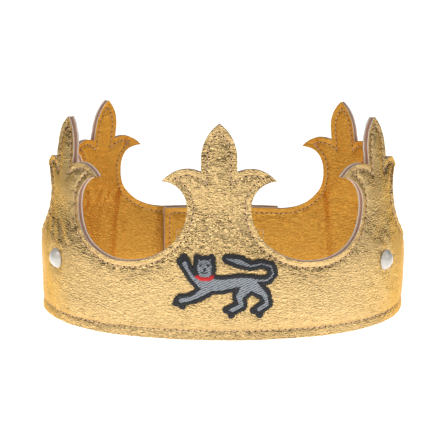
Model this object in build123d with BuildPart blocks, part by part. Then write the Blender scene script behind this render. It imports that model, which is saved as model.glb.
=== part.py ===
"""Soft costume crown: a padded strip with five fleur-de-lis points, closed at the back.

The strip is a sandwich of leatherette shell, foam core and leatherette lining, edge
stitched, standing on its bottom edge.  The front faces -Y, +Z is up, and the origin is
the middle of the footprint.  The right wing's end runs inside the left wing's end, and
hook-and-loop tape holds the two together.

Places on the wall are given as s, the distance along the plan from the front centre
(positive to the right, +X), and an offset from the wall's mid-surface, positive outward.
"""
from math import asin, atan2, cos, degrees, hypot, pi, radians, sin, sqrt, tan
import os

from build123d import *

os.makedirs("parts", exist_ok=True)

# ---- heights ----
TIP_HEIGHT = 103.0
VALLEY_HEIGHT = 37.3
FRONT_LEAN = 7.5  # degrees that the front and side points lean inward
BACK_LEAN = 11.5  # degrees that the two back points lean inward

# ---- the plan's mid-surface, a chain of tangent arcs ----
FRONT_Y = -73.4
BACK_Y = 71.1
FRONT_RADIUS = 150.0
FRONT_SWEEP = radians(17.5)  # from the front centre to a front valley
SIDE_RADIUS = 70.5
CORNER_RADIUS = 42.0
SIDE_FLEUR_S = 2 * FRONT_RADIUS * FRONT_SWEEP
BACK_FLEUR_S = 188.5

# ---- wall layers, as offsets from the mid-surface ----
SKIN = 0.6
FOAM = 2.0
WALL_HALF = SKIN + FOAM / 2
FOAM_HALF = FOAM / 2

# ---- one fleur, half outline: u across from its centre, z up ----
TIP_SIDE = (8.9, 87.0)
TIP_ARC_RADIUS = 18.8
PETAL_CENTRE = (15.6, 65.4)
PETAL_RADIUS = 16.4
WAIST = (15.6, 63.3)
SCOOP_RADIUS = 12.6  # hollow between petal tip and waist
FOOT_U = 45.5

# ---- closure at the back ----
OVERLAP_SHIFT = 2.9  # each end lies this far from the plan's mid-surface
INNER_END_X = -35.7
OUTER_END_X = 31.0
PEEL_ROOT_X = -39.0
TAPE_THICKNESS = 1.1
TAPE_X = (-31.0, 25.0)
TAPE_Z = (6.0, 26.0)
FLEX_GAP = 0.3  # slit between two bodies of the strip

# ---- stitching ----
SEAM_INSET = 3.0
SEAM_HEIGHT = 4.5  # bottom seam, above the bottom edge
THREAD_WIDTH = 0.6
THREAD_PROUD = 0.35
BOX_INSET = 2.0  # tape box stitching, inside the tape's edge

# ---- pearls ----
PEARL_HEIGHT = 32.0
PEARL_RADIUS = 5.1  # where the dome meets the shell
PEARL_DOME = 3.0
DOME_RADIUS = (PEARL_RADIUS**2 + PEARL_DOME**2) / (2 * PEARL_DOME)
POST_RADIUS = 0.9
CAP_RADIUS = 3.6
CAP_THICKNESS = 1.2

# ---- embroidery: a walking lion, drawn as limbs of (u, z, radius) discs ----
FILL_PROUD = 0.5
OUTLINE_PROUD = 0.8
OUTLINE_OUT = 1.0
OUTLINE_IN = 0.8
BACKING_THICKNESS = 0.2
BACKING_SIZE = (54.0, 36.0)
BACKING_CENTRE = (3.5, 27.5)
LION_BODY = [
    [(-6.0, 27.5, 4.0), (2.0, 27.6, 3.4), (10.0, 29.0, 2.9), (15.5, 28.0, 3.6)],  # trunk
    [(-6.0, 28.0, 4.2), (-6.6, 33.0, 3.7), (-6.8, 36.2, 4.4)],  # neck and head
    [(-8.8, 38.6, 1.3), (-10.0, 40.2, 1.0)],  # one ear
    [(-4.8, 38.6, 1.3), (-3.6, 40.2, 1.0)],  # other ear
    [(-8.5, 27.5, 2.3), (-12.6, 31.2, 1.7), (-15.0, 35.0, 1.5), (-16.2, 37.6, 2.0)],  # raised forepaw
    [(-6.0, 25.2, 2.8), (-11.0, 21.6, 2.0), (-15.4, 20.0, 1.7), (-18.0, 19.6, 2.0)],  # reaching foreleg
    [(13.0, 26.0, 3.4), (9.6, 21.8, 2.2), (10.8, 17.4, 1.7), (6.4, 15.4, 1.8)],  # near hind leg
    [(17.0, 26.4, 3.2), (21.6, 22.6, 2.0), (23.0, 18.2, 1.6), (19.2, 15.4, 1.8)],  # far hind leg
]
LION_TOES = [
    [(-16.2, 37.6, 1.4), (-18.4, 38.6, 0.7)],
    [(-16.2, 37.6, 1.4), (-16.8, 40.6, 0.7)],
    [(-18.0, 19.6, 1.4), (-20.4, 18.2, 0.7)],
    [(-18.0, 19.6, 1.4), (-17.4, 16.8, 0.7)],
    [(6.4, 15.4, 1.4), (3.6, 15.2, 0.7)],
    [(6.4, 15.4, 1.4), (6.0, 12.8, 0.7)],
    [(19.2, 15.4, 1.4), (16.6, 14.8, 0.7)],
    [(19.2, 15.4, 1.4), (19.4, 12.8, 0.7)],
]
LION_TAIL = [(17.6, 29.6, 1.4), (23.2, 29.6, 1.2), (25.8, 32.6, 1.2), (24.6, 36.4, 1.2),
             (20.2, 37.6, 1.2), (15.0, 36.6, 1.3)]
LION_TUFT = [(15.0, 36.6, 1.3), (9.4, 38.8, 2.1), (3.6, 40.2, 1.1)]
COLLAR = [(-10.4, 31.7, 0.9), (-8.4, 30.4, 0.9), (-4.6, 30.4, 0.9), (-2.6, 31.7, 0.9)]


# ---- the plan ----
FRONT_CENTRE = (0.0, FRONT_Y + FRONT_RADIUS)
SIDE_CENTRE = (
    (FRONT_RADIUS - SIDE_RADIUS) * sin(FRONT_SWEEP),
    FRONT_CENTRE[1] - (FRONT_RADIUS - SIDE_RADIUS) * cos(FRONT_SWEEP),
)
PIVOT_X = (FRONT_RADIUS + WALL_HALF) * sin(FRONT_SWEEP)
PIVOT_Y = FRONT_CENTRE[1] - (FRONT_RADIUS + WALL_HALF) * cos(FRONT_SWEEP)
BACK_RADIUS = BACK_Y - PIVOT_Y
INNER_BACK = BACK_RADIUS - OVERLAP_SHIFT
OUTER_BACK = BACK_RADIUS + OVERLAP_SHIFT


def plan_arcs(back_radius):
    """The right half plan as (centre, radius, start angle, end angle), angles from -Y."""
    reach_back = back_radius - CORNER_RADIUS
    reach_side = SIDE_RADIUS - CORNER_RADIUS
    dx = SIDE_CENTRE[0]
    dy = SIDE_CENTRE[1] - PIVOT_Y
    span = hypot(dx, dy)
    along = (reach_back**2 - reach_side**2 + span**2) / (2 * span)
    away = sqrt(reach_back**2 - along**2)
    corner_centre = (
        (along * dx + away * dy) / span,
        PIVOT_Y + (along * dy - away * dx) / span,
    )
    side_end = atan2(corner_centre[0] - SIDE_CENTRE[0], SIDE_CENTRE[1] - corner_centre[1])
    corner_end = atan2(corner_centre[0], PIVOT_Y - corner_centre[1])
    return [
        (FRONT_CENTRE, FRONT_RADIUS, 0.0, FRONT_SWEEP),
        (SIDE_CENTRE, SIDE_RADIUS, FRONT_SWEEP, side_end),
        (corner_centre, CORNER_RADIUS, side_end, corner_end),
        ((0.0, PIVOT_Y), back_radius, corner_end, pi),
    ]


def plan_point(s, back_radius, offset=0.0):
    """(x, y, angle) on the plan; the outward normal is (sin, -cos) of the angle."""
    side = 1.0 if s >= 0 else -1.0
    left = abs(s)
    for centre, radius, start, end in plan_arcs(back_radius):
        run = radius * (end - start)
        if left <= run or end == pi:
            break
        left -= run
    angle = start + left / radius
    x = centre[0] + (radius + offset) * sin(angle)
    y = centre[1] - (radius + offset) * cos(angle)
    return side * x, y, side * angle


def wall_plane(s, back_radius, offset=0.0):
    """Plane touching the wall at s: x along the wall, y up, normal outward."""
    x, y, angle = plan_point(s, back_radius, offset)
    along = (cos(angle), sin(angle), 0)
    outward = (sin(angle), -cos(angle), 0)
    return Plane(origin=(x, y, 0), x_dir=along, z_dir=outward)


def across(s, u, back_radius):
    """Distance across the plane touching at s of the wall point u further along."""
    x0, y0, angle = plan_point(s, back_radius)
    x1, y1, _ = plan_point(s + u, back_radius)
    return (x1 - x0) * cos(angle) + (y1 - y0) * sin(angle)


# ---- wall solids ----
def plan_disc(offset, back_radius, plane=Plane.XY):
    """The filled plan, grown outward by an offset."""
    front, side, corner, back = [
        (radius + offset, degrees(last - first)) for _, radius, first, last in plan_arcs(back_radius)
    ]
    x, y, angle = plan_point(-FRONT_RADIUS * FRONT_SWEEP, back_radius, offset)
    with BuildSketch(plane) as disc:
        with BuildLine():
            start = (x, y)
            direction = (cos(angle), sin(angle))
            for (radius, sweep), turns in (
                (front, 2), (side, 1), (corner, 1), (back, 2), (corner, 1), (side, 1),
            ):
                arc = JernArc(start, direction, radius, turns * sweep)
                start = arc @ 1
                direction = arc % 1
        make_face()
    return disc.sketch


def straight_wall(low, high, back_radius):
    """The ring between two offsets, up to the valleys."""
    with BuildPart() as ring:
        with BuildSketch():
            add(plan_disc(high, back_radius))
            add(plan_disc(low, back_radius), mode=Mode.SUBTRACT)
        extrude(amount=VALLEY_HEIGHT)
    return ring.part


def leaning_wall(low, high, back_radius, lean):
    """The ring between two offsets above the valleys, leaning inward."""
    valley_plane = Plane.XY.offset(VALLEY_HEIGHT)
    rise = TIP_HEIGHT + 1 - VALLEY_HEIGHT
    with BuildPart() as inside:
        add(plan_disc(low, back_radius, valley_plane))
        extrude(amount=rise, taper=lean)
    with BuildPart() as ring:
        add(plan_disc(high, back_radius, valley_plane))
        extrude(amount=rise, taper=lean)
        add(inside.part, mode=Mode.SUBTRACT)
    return ring.part


def circles_meet(first, first_radius, second, second_radius):
    """Where two circles cross, on the right of the way from the first to the second."""
    dx, dy = second[0] - first[0], second[1] - first[1]
    span = hypot(dx, dy)
    along = (first_radius**2 - second_radius**2 + span**2) / (2 * span)
    away = -sqrt(first_radius**2 - along**2)
    return (
        first[0] + (along * dx - away * dy) / span,
        first[1] + (along * dy + away * dx) / span,
    )


def arc_middle(centre, radius, start, end):
    """Middle point of the short arc between two points of a circle."""
    u = (start[0] + end[0]) / 2 - centre[0]
    z = (start[1] + end[1]) / 2 - centre[1]
    return (centre[0] + u * radius / hypot(u, z), centre[1] + z * radius / hypot(u, z))


def fleur_face(s, back_radius, inset=0.0):
    """One fleur and the band below it, drawn flat: x across, y up."""
    tip_centre = (TIP_SIDE[0] - TIP_ARC_RADIUS, TIP_SIDE[1])
    tip_radius = TIP_ARC_RADIUS - inset
    petal_radius = PETAL_RADIUS - inset
    scoop_centre = (WAIST[0] + SCOOP_RADIUS, WAIST[1])
    scoop_radius = SCOOP_RADIUS + inset
    apex = (0.0, tip_centre[1] + sqrt(tip_radius**2 - tip_centre[0]**2))
    shoulder = (TIP_SIDE[0] - inset, TIP_SIDE[1])
    notch_rise = sqrt(petal_radius**2 - (shoulder[0] - PETAL_CENTRE[0])**2)
    notch = (shoulder[0], PETAL_CENTRE[1] + notch_rise)
    petal_tip = circles_meet(scoop_centre, scoop_radius, PETAL_CENTRE, petal_radius)
    waist = (WAIST[0] - inset, WAIST[1])
    foot_width = FOOT_U - waist[0]
    foot_height = WAIST[1] - VALLEY_HEIGHT + inset
    foot_end = (FOOT_U, VALLEY_HEIGHT - inset)
    foot_turns = [radians(turn) for turn in (90, 72, 50, 25, 0)]
    foot = [
        (FOOT_U - foot_width * sin(turn), WAIST[1] - foot_height * cos(turn))
        for turn in foot_turns
    ]
    arcs = [
        (apex, arc_middle(tip_centre, tip_radius, apex, shoulder), shoulder),
        (notch, arc_middle(PETAL_CENTRE, petal_radius, notch, petal_tip), petal_tip),
        (petal_tip, arc_middle(scoop_centre, scoop_radius, petal_tip, waist), waist),
    ]

    def at(point, side):
        return (across(s, side * point[0], back_radius), point[1])

    with BuildSketch() as face:
        with BuildLine():
            for side in (1, -1):
                for arc in arcs:
                    ThreePointArc(*[at(point, side) for point in arc])
                Line(at(shoulder, side), at(notch, side))
                Spline([at(point, side) for point in foot])
                Line(at(foot_end, side), at((FOOT_U, -1), side))
            Line(at((FOOT_U, -1), 1), at((FOOT_U, -1), -1))
        make_face()
    return face.sketch


def wall_prism(face, s, back_radius):
    """A flat face stood against the wall at s and pushed through it."""
    with BuildPart() as prism:
        with BuildSketch(wall_plane(s, back_radius, -45)):
            add(face)
        extrude(amount=60)
    return prism.part


def patch_face(u_span, z_span):
    """A rectangle, drawn flat: x across, y up."""
    with BuildSketch() as patch:
        with Locations(((u_span[0] + u_span[1]) / 2, (z_span[0] + z_span[1]) / 2)):
            Rectangle(u_span[1] - u_span[0], z_span[1] - z_span[0])
    return patch.sketch


def back_prism(x_span, z_span):
    """A box through the back wall."""
    with BuildPart() as prism:
        with BuildSketch(Plane.XZ):
            add(patch_face(x_span, z_span))
        extrude(amount=-100)
    return prism.part


def footprint_prism(*corners):
    """A plan polygon, pushed up through the whole height."""
    with BuildPart() as prism:
        with BuildSketch(Plane.XY.offset(-1)):
            with BuildLine():
                Polyline(*corners, close=True)
            make_face()
        extrude(amount=TIP_HEIGHT + 2)
    return prism.part


def cross(*solids):
    """What several solids have in common."""
    with BuildPart() as common:
        add(solids[0])
        for solid in solids[1:]:
            add(solid, mode=Mode.INTERSECT)
    return common.part


# ---- the four bodies of the strip: region in plan, fleurs, and which end they run to ----
def front_ray(reach, slit_side, side):
    """Point on the line that parts the front panel from a wing."""
    turn = FRONT_SWEEP + slit_side * FLEX_GAP / 2 / FRONT_RADIUS
    return (side * reach * sin(turn), FRONT_CENTRE[1] - reach * cos(turn))


def back_ray(reach, slit_side):
    """Point on the line that parts the left wing from the outer end."""
    turn = asin(PEEL_ROOT_X / OUTER_BACK) + slit_side * FLEX_GAP / 2 / OUTER_BACK
    return (reach * sin(turn), PIVOT_Y + reach * cos(turn))


FAR = 130.0
INNER_REACH, OUTER_REACH = 110.0, 175.0
front_region = footprint_prism(
    front_ray(INNER_REACH, -1, -1), front_ray(OUTER_REACH, -1, -1),
    front_ray(OUTER_REACH, -1, 1), front_ray(INNER_REACH, -1, 1),
)
right_region = footprint_prism(
    front_ray(INNER_REACH, 1, 1), front_ray(OUTER_REACH, 1, 1),
    (FAR, -FAR), (FAR, FAR), (INNER_END_X, FAR), (INNER_END_X, 30), (0, 30),
)
left_region = footprint_prism(
    front_ray(INNER_REACH, 1, -1), front_ray(OUTER_REACH, 1, -1),
    (-FAR, -FAR), (-FAR, FAR), back_ray(OUTER_REACH, -1), back_ray(INNER_REACH, -1),
)
outer_end_region = footprint_prism(
    back_ray(INNER_REACH, 1), back_ray(OUTER_REACH, 1), (OUTER_END_X, FAR), (OUTER_END_X, 30),
)
SIDE_FLEUR = (SIDE_FLEUR_S, FRONT_LEAN)
BACK_FLEUR = (BACK_FLEUR_S, BACK_LEAN)
BODIES = {
    "front": (front_region, [(0.0, FRONT_LEAN)], OUTER_BACK),
    "left": (left_region, [(-s, lean) for s, lean in (SIDE_FLEUR, BACK_FLEUR)], OUTER_BACK),
    "right": (right_region, [SIDE_FLEUR, BACK_FLEUR], INNER_BACK),
    "outer_end": (outer_end_region, [], OUTER_BACK),
}
PEARL_S = {"left": -SIDE_FLEUR_S, "right": SIDE_FLEUR_S}


def layer(low, high, body):
    """One layer of the sandwich over one body of the strip."""
    region, fleurs, back_radius = BODIES[body]
    with BuildPart() as piece:
        add(cross(straight_wall(low, high, back_radius), region))
        for s, lean in fleurs:
            prism = wall_prism(fleur_face(s, back_radius), s, back_radius)
            add(cross(leaning_wall(low, high, back_radius, lean), prism, region))
        if body in PEARL_S:
            with BuildSketch(wall_plane(PEARL_S[body], back_radius, -10)):
                with Locations((0, PEARL_HEIGHT)):
                    Circle(POST_RADIUS)
            extrude(amount=20, mode=Mode.SUBTRACT)
    return piece.part


def patch(low, high, prism, body):
    """A thin patch on the wall, held inside one body of the strip."""
    region, _, back_radius = BODIES[body]
    return cross(straight_wall(low, high, back_radius), region, prism)


# ---- edge stitching: a raised bead along every cut edge, on both faces ----
SEAM_TOP = VALLEY_HEIGHT - SEAM_INSET


def fleur_seam(s, back_radius):
    """The seam line round one fleur, drawn flat."""
    with BuildSketch() as seam:
        add(fleur_face(s, back_radius, SEAM_INSET - THREAD_WIDTH / 2))
        add(fleur_face(s, back_radius, SEAM_INSET + THREAD_WIDTH / 2), mode=Mode.SUBTRACT)
    return seam.sketch


def level_slab(height):
    """A thread-high slab over the whole plan."""
    with BuildPart() as slab:
        with BuildSketch(Plane.XY.offset(height)):
            Rectangle(3 * FAR, 3 * FAR)
        extrude(amount=THREAD_WIDTH)
    return slab.part


def stitching(body):
    """All the edge stitching on one body of the strip."""
    region, fleurs, back_radius = BODIES[body]
    end_seams = {
        "front": [], "left": [],
        "right": [back_prism((INNER_END_X + SEAM_INSET, INNER_END_X + SEAM_INSET + THREAD_WIDTH),
                             (SEAM_HEIGHT, SEAM_TOP))],
        "outer_end": [back_prism((OUTER_END_X - SEAM_INSET - THREAD_WIDTH, OUTER_END_X - SEAM_INSET),
                                 (SEAM_HEIGHT, SEAM_TOP))],
    }
    bottom_seam = level_slab(SEAM_HEIGHT)
    with BuildPart() as valley_seam:
        add(level_slab(SEAM_TOP - THREAD_WIDTH / 2))
        for s, _ in fleurs:
            width = [across(s, u, back_radius) for u in (-FOOT_U, FOOT_U)]
            add(wall_prism(patch_face(width, (0, TIP_HEIGHT)), s, back_radius), mode=Mode.SUBTRACT)
    level_seams = [bottom_seam] if body == "front" else [bottom_seam, valley_seam.part]
    with BuildPart() as thread:
        for low, high in ((WALL_HALF, WALL_HALF + THREAD_PROUD), (-WALL_HALF - THREAD_PROUD, -WALL_HALF)):
            band = cross(straight_wall(low, high, back_radius), region)
            for prism in level_seams + end_seams[body]:
                add(cross(band, prism))
            for s, lean in fleurs:
                prism = wall_prism(fleur_seam(s, back_radius), s, back_radius)
                add(cross(band, prism))
                add(cross(leaning_wall(low, high, back_radius, lean), prism, region))
    return thread.part


# ---- pearls, posts and back caps ----
def pearl(body):
    """Flat-backed pearl with a post through the wall."""
    s = PEARL_S[body]
    back_radius = BODIES[body][2]
    face = wall_plane(s, back_radius, WALL_HALF)
    middle = face.from_local_coords((0, PEARL_HEIGHT, PEARL_DOME - DOME_RADIUS))
    with BuildPart() as bead:
        with BuildSketch(face):
            with Locations((0, PEARL_HEIGHT)):
                Circle(2 * PEARL_RADIUS)
        extrude(amount=3 * PEARL_RADIUS)
        with Locations(Plane(middle, x_dir=face.x_dir, z_dir=face.z_dir)):
            Sphere(DOME_RADIUS, mode=Mode.INTERSECT)
        with BuildSketch(face):
            with Locations((0, PEARL_HEIGHT)):
                Circle(POST_RADIUS - 0.05)
        extrude(amount=-(2 * WALL_HALF + CAP_THICKNESS / 2))
    return bead.part


def back_cap(body):
    """Round cap pressed on the post inside the crown."""
    back_radius = BODIES[body][2]
    with BuildPart() as cap:
        with BuildSketch(wall_plane(PEARL_S[body], back_radius, -WALL_HALF - 0.12)):
            with Locations((0, PEARL_HEIGHT)):
                Circle(CAP_RADIUS)
        extrude(amount=-CAP_THICKNESS)
        fillet(cap.faces().sort_by(Axis.Y)[0].edges(), CAP_THICKNESS / 3)
        with BuildSketch(wall_plane(PEARL_S[body], back_radius, -WALL_HALF)):
            with Locations((0, PEARL_HEIGHT)):
                Circle(POST_RADIUS - 0.05)
        extrude(amount=-CAP_THICKNESS / 2, mode=Mode.SUBTRACT)
    return cap.part


# ---- embroidery ----
def limb_face(limbs, growth):
    """Limbs drawn flat: each runs through its discs, grown by an amount."""
    with BuildSketch() as shape:
        for limb in limbs:
            for (u0, z0, r0), (u1, z1, r1) in zip(limb, limb[1:]):
                with BuildSketch(mode=Mode.PRIVATE) as stretch:
                    with Locations((u0, z0)):
                        Circle(r0 + growth)
                    with Locations((u1, z1)):
                        Circle(r1 + growth)
                    make_hull()
                add(stretch.sketch)
    return shape.sketch


def embroidery(face, proud):
    """A flat figure laid on the shell of the front panel."""
    low, high = WALL_HALF, WALL_HALF + proud
    prism = wall_prism(face, 0.0, OUTER_BACK)
    with BuildPart() as figure:
        add(patch(low, high, prism, "front"))
        if face.bounding_box().max.Y > VALLEY_HEIGHT:
            add(cross(leaning_wall(low, high, OUTER_BACK, FRONT_LEAN), prism))
    return figure.part


lion_outer = limb_face(LION_BODY + LION_TOES + [LION_TAIL, LION_TUFT], OUTLINE_OUT)
lion_inner = limb_face(LION_BODY + [LION_TAIL, LION_TUFT], -OUTLINE_IN)
collar_face = limb_face([COLLAR], 0.0)
with BuildSketch() as outline_face:
    add(lion_outer)
    add(lion_inner, mode=Mode.SUBTRACT)
    add(collar_face, mode=Mode.SUBTRACT)
with BuildSketch() as fill_face:
    add(lion_inner)
    add(collar_face, mode=Mode.SUBTRACT)
backing_half_u, backing_half_z = (size / 2 for size in BACKING_SIZE)
backing_prism = wall_prism(
    patch_face((BACKING_CENTRE[0] - backing_half_u, BACKING_CENTRE[0] + backing_half_u),
               (BACKING_CENTRE[1] - backing_half_z, min(BACKING_CENTRE[1] + backing_half_z, VALLEY_HEIGHT))),
    0.0, OUTER_BACK,
)


# ---- finished pieces ----
def save(solid, name):
    """Label a finished piece and write it out."""
    solid.label = name
    export_step(solid, f"parts/{name}.step")


for body in BODIES:
    save(layer(FOAM_HALF, WALL_HALF, body), f"outer_shell_{body}")
    save(layer(-WALL_HALF, -FOAM_HALF, body), f"inner_lining_{body}")
    save(stitching(body), f"edge_stitching_{body}")

backing = patch(FOAM_HALF - BACKING_THICKNESS, FOAM_HALF, backing_prism, "front")
save(backing, "embroidery_backing")
for body in BODIES:
    with BuildPart() as foam:
        add(layer(-FOAM_HALF, FOAM_HALF, body))
        if body == "front":
            add(backing, mode=Mode.SUBTRACT)
    save(foam.part, f"foam_core_{body}")

for body in PEARL_S:
    save(pearl(body), f"pearl_{body}")
    save(back_cap(body), f"pearl_back_cap_{body}")

save(embroidery(outline_face.sketch, OUTLINE_PROUD), "lion_outline_thread")
save(embroidery(fill_face.sketch, FILL_PROUD), "lion_fill_thread")
save(embroidery(collar_face, OUTLINE_PROUD), "lion_collar_thread")

# ---- hook-and-loop tapes and their box stitching ----
tape_prism = back_prism(TAPE_X, TAPE_Z)
save(patch(WALL_HALF, WALL_HALF + TAPE_THICKNESS, tape_prism, "right"), "hook_tape")
save(patch(-WALL_HALF - TAPE_THICKNESS, -WALL_HALF, tape_prism, "outer_end"), "loop_tape")


def box_seam_prism():
    """The box seam that holds a tape, as a prism through the back wall."""
    with BuildSketch() as box:
        with Locations((sum(TAPE_X) / 2, sum(TAPE_Z) / 2)):
            Rectangle(TAPE_X[1] - TAPE_X[0] - 2 * BOX_INSET, TAPE_Z[1] - TAPE_Z[0] - 2 * BOX_INSET)
            offset(amount=-THREAD_WIDTH, mode=Mode.SUBTRACT)
    with BuildPart() as prism:
        with BuildSketch(Plane.XZ):
            add(box.sketch)
        extrude(amount=-100)
    return prism.part


box_prism = box_seam_prism()
save(patch(-WALL_HALF - THREAD_PROUD, -WALL_HALF, box_prism, "right"), "hook_tape_stitching")
save(patch(WALL_HALF, WALL_HALF + THREAD_PROUD, box_prism, "outer_end"), "loop_tape_stitching")
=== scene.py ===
"""Soft costume crown: leatherette, foam, threads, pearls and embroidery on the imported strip."""
from math import asin, atan2, cos, hypot, pi, radians, sin, sqrt, tan

import bpy
import numpy as np
from mathutils import Matrix, Vector, geometry, noise


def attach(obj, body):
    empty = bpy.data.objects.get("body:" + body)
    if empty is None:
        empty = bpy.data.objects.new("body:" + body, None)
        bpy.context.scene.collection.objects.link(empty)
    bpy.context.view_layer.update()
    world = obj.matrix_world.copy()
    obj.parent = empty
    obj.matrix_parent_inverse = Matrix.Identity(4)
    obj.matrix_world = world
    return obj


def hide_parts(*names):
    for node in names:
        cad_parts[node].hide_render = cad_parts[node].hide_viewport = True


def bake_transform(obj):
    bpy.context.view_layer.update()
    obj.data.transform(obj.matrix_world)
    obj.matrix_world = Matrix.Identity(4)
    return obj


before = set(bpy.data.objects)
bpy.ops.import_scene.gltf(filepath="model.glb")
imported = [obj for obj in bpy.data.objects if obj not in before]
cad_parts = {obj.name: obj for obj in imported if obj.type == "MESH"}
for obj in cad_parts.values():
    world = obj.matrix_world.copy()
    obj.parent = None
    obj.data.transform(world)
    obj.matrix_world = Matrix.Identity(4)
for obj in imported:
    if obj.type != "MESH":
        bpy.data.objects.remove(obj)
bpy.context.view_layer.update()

bl_info = {
    "name": "Soft Costume Crown",
    "version": (1, 0, 0),
    "blender": (4, 5, 0),
    "location": "View3D > Sidebar > Crown",
    "description": "Builds a padded leatherette crown with stitching, pearls and a sewn lion",
    "category": "Add Mesh",
}

MM = 0.001

# ---- the strip, in millimetres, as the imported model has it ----
VALLEY_HEIGHT = 37.3
FRONT_LEAN = radians(7.5)
BACK_LEAN = radians(11.5)
FRONT_Y = -73.4
BACK_Y = 71.1
FRONT_RADIUS = 150.0
FRONT_SWEEP = radians(17.5)
SIDE_RADIUS = 70.5
CORNER_RADIUS = 42.0
SIDE_FLEUR = 2 * FRONT_RADIUS * FRONT_SWEEP
BACK_FLEUR = 188.5
WALL_HALF = 1.6
TIP_SIDE = (8.9, 87.0)
TIP_ARC_RADIUS = 18.8
PETAL_CENTRE = (15.6, 65.4)
PETAL_RADIUS = 16.4
WAIST = (15.6, 63.3)
SCOOP_RADIUS = 12.6
FOOT_U = 45.5
OVERLAP_SHIFT = 2.9
INNER_END = 301.3
OUTER_END = 300.7
SEAM_INSET = 3.0
SEAM_HEIGHT = 4.5
PEARL_HEIGHT = 32.0
PEARL_RADIUS = 5.1
PEARL_DOME = 3.0
TAPE_X = (-31.0, 25.0)
TAPE_Z = (6.0, 26.0)
BOX_INSET = 2.0
TAPE_THICKNESS = 1.1

# ---- the embroidered lion: limbs of (u, z, radius) discs ----
LION_LIMBS = [
    [(-6.0, 27.5, 4.0), (2.0, 27.6, 3.4), (10.0, 29.0, 2.9), (15.5, 28.0, 3.6)],
    [(-6.0, 28.0, 4.2), (-6.6, 33.0, 3.7), (-6.8, 36.2, 4.4)],
    [(-8.8, 38.6, 1.3), (-10.0, 40.2, 1.0)],
    [(-4.8, 38.6, 1.3), (-3.6, 40.2, 1.0)],
    [(-8.5, 27.5, 2.3), (-12.6, 31.2, 1.7), (-15.0, 35.0, 1.5), (-16.2, 37.6, 2.0)],
    [(-6.0, 25.2, 2.8), (-11.0, 21.6, 2.0), (-15.4, 20.0, 1.7), (-18.0, 19.6, 2.0)],
    [(13.0, 26.0, 3.4), (9.6, 21.8, 2.2), (10.8, 17.4, 1.7), (6.4, 15.4, 1.8)],
    [(17.0, 26.4, 3.2), (21.6, 22.6, 2.0), (23.0, 18.2, 1.6), (19.2, 15.4, 1.8)],
    [(17.6, 29.6, 1.4), (23.2, 29.6, 1.2), (25.8, 32.6, 1.2), (24.6, 36.4, 1.2),
     (20.2, 37.6, 1.2), (15.0, 36.6, 1.3)],
    [(15.0, 36.6, 1.3), (9.4, 38.8, 2.1), (3.6, 40.2, 1.1)],
]
LION_TOES = [
    [(-16.2, 37.6, 1.4), (-18.4, 38.6, 0.7)],
    [(-16.2, 37.6, 1.4), (-16.8, 40.6, 0.7)],
    [(-18.0, 19.6, 1.4), (-20.4, 18.2, 0.7)],
    [(-18.0, 19.6, 1.4), (-17.4, 16.8, 0.7)],
    [(6.4, 15.4, 1.4), (3.6, 15.2, 0.7)],
    [(6.4, 15.4, 1.4), (6.0, 12.8, 0.7)],
    [(19.2, 15.4, 1.4), (16.6, 14.8, 0.7)],
    [(19.2, 15.4, 1.4), (19.4, 12.8, 0.7)],
]
COLLAR = [(-10.4, 31.7), (-8.4, 30.4), (-4.6, 30.4), (-2.6, 31.7)]

# ---- which stretch of the strip each soft piece covers, and on which hand ----
STRETCHES = {
    "right": (1, 0.0, INNER_END, INNER_END),
    "left": (-1, 0.0, BACK_FLEUR, OUTER_END),
    "end": (-1, BACK_FLEUR, OUTER_END, OUTER_END),
}
CAD_PARTS = {"right": ("front", "right"), "left": ("front", "left"), "end": ("outer_end",)}


# ---- plan and wall ----
def plan_arcs(back_radius):
    """The half plan as (centre, radius, start angle, end angle), angles from -Y."""
    front_centre = (0.0, FRONT_Y + FRONT_RADIUS)
    side_x = (FRONT_RADIUS - SIDE_RADIUS) * sin(FRONT_SWEEP)
    side_y = front_centre[1] - (FRONT_RADIUS - SIDE_RADIUS) * cos(FRONT_SWEEP)
    pivot_y = front_centre[1] - (FRONT_RADIUS + WALL_HALF) * cos(FRONT_SWEEP)
    radius = BACK_Y - pivot_y + back_radius
    reach_back = radius - CORNER_RADIUS
    reach_side = SIDE_RADIUS - CORNER_RADIUS
    dy = side_y - pivot_y
    span = hypot(side_x, dy)
    along = (reach_back**2 - reach_side**2 + span**2) / (2 * span)
    away = sqrt(reach_back**2 - along**2)
    corner = (
        (along * side_x + away * dy) / span,
        pivot_y + (along * dy - away * side_x) / span,
    )
    side_end = atan2(corner[0] - side_x, side_y - corner[1])
    corner_end = atan2(corner[0], pivot_y - corner[1])
    return [
        (front_centre, FRONT_RADIUS, 0.0, FRONT_SWEEP),
        ((side_x, side_y), SIDE_RADIUS, FRONT_SWEEP, side_end),
        (corner, CORNER_RADIUS, side_end, corner_end),
        ((0.0, pivot_y), radius, corner_end, 2 * pi),
    ]


PLAN = {1: plan_arcs(-OVERLAP_SHIFT), -1: plan_arcs(OVERLAP_SHIFT)}


def wall_point(s, z, offset, hand):
    """Places in millimetres of wall points; offset is outward from the wall's middle."""
    left = hand * s
    x = np.zeros_like(left)
    y = np.zeros_like(left)
    angle = np.zeros_like(left)
    before = 0.0
    for centre, radius, start, end in PLAN[hand]:
        run = radius * (end - start)
        here = (left >= before) & (left <= before + run) if before else left <= run
        turned = start + (left[here] - before) / radius
        x[here] = centre[0] + radius * np.sin(turned)
        y[here] = centre[1] - radius * np.cos(turned)
        angle[here] = turned
        before += run
    back = np.clip((left - 136.0) / 8.0, 0, 1)
    back = back * back * (3 - 2 * back)
    slope = tan(FRONT_LEAN) * (1 - back) + tan(BACK_LEAN) * back
    above = z - VALLEY_HEIGHT
    rise = 0.5 * (above + np.sqrt(above * above + 9.0)) - 4.5 / (np.abs(above) + 9.0)
    out = offset - slope * np.maximum(rise, 0)
    nx = np.sin(angle)
    ny = -np.cos(angle)
    return np.stack([hand * (x + nx * out), y + ny * out, z], axis=-1)


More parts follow.
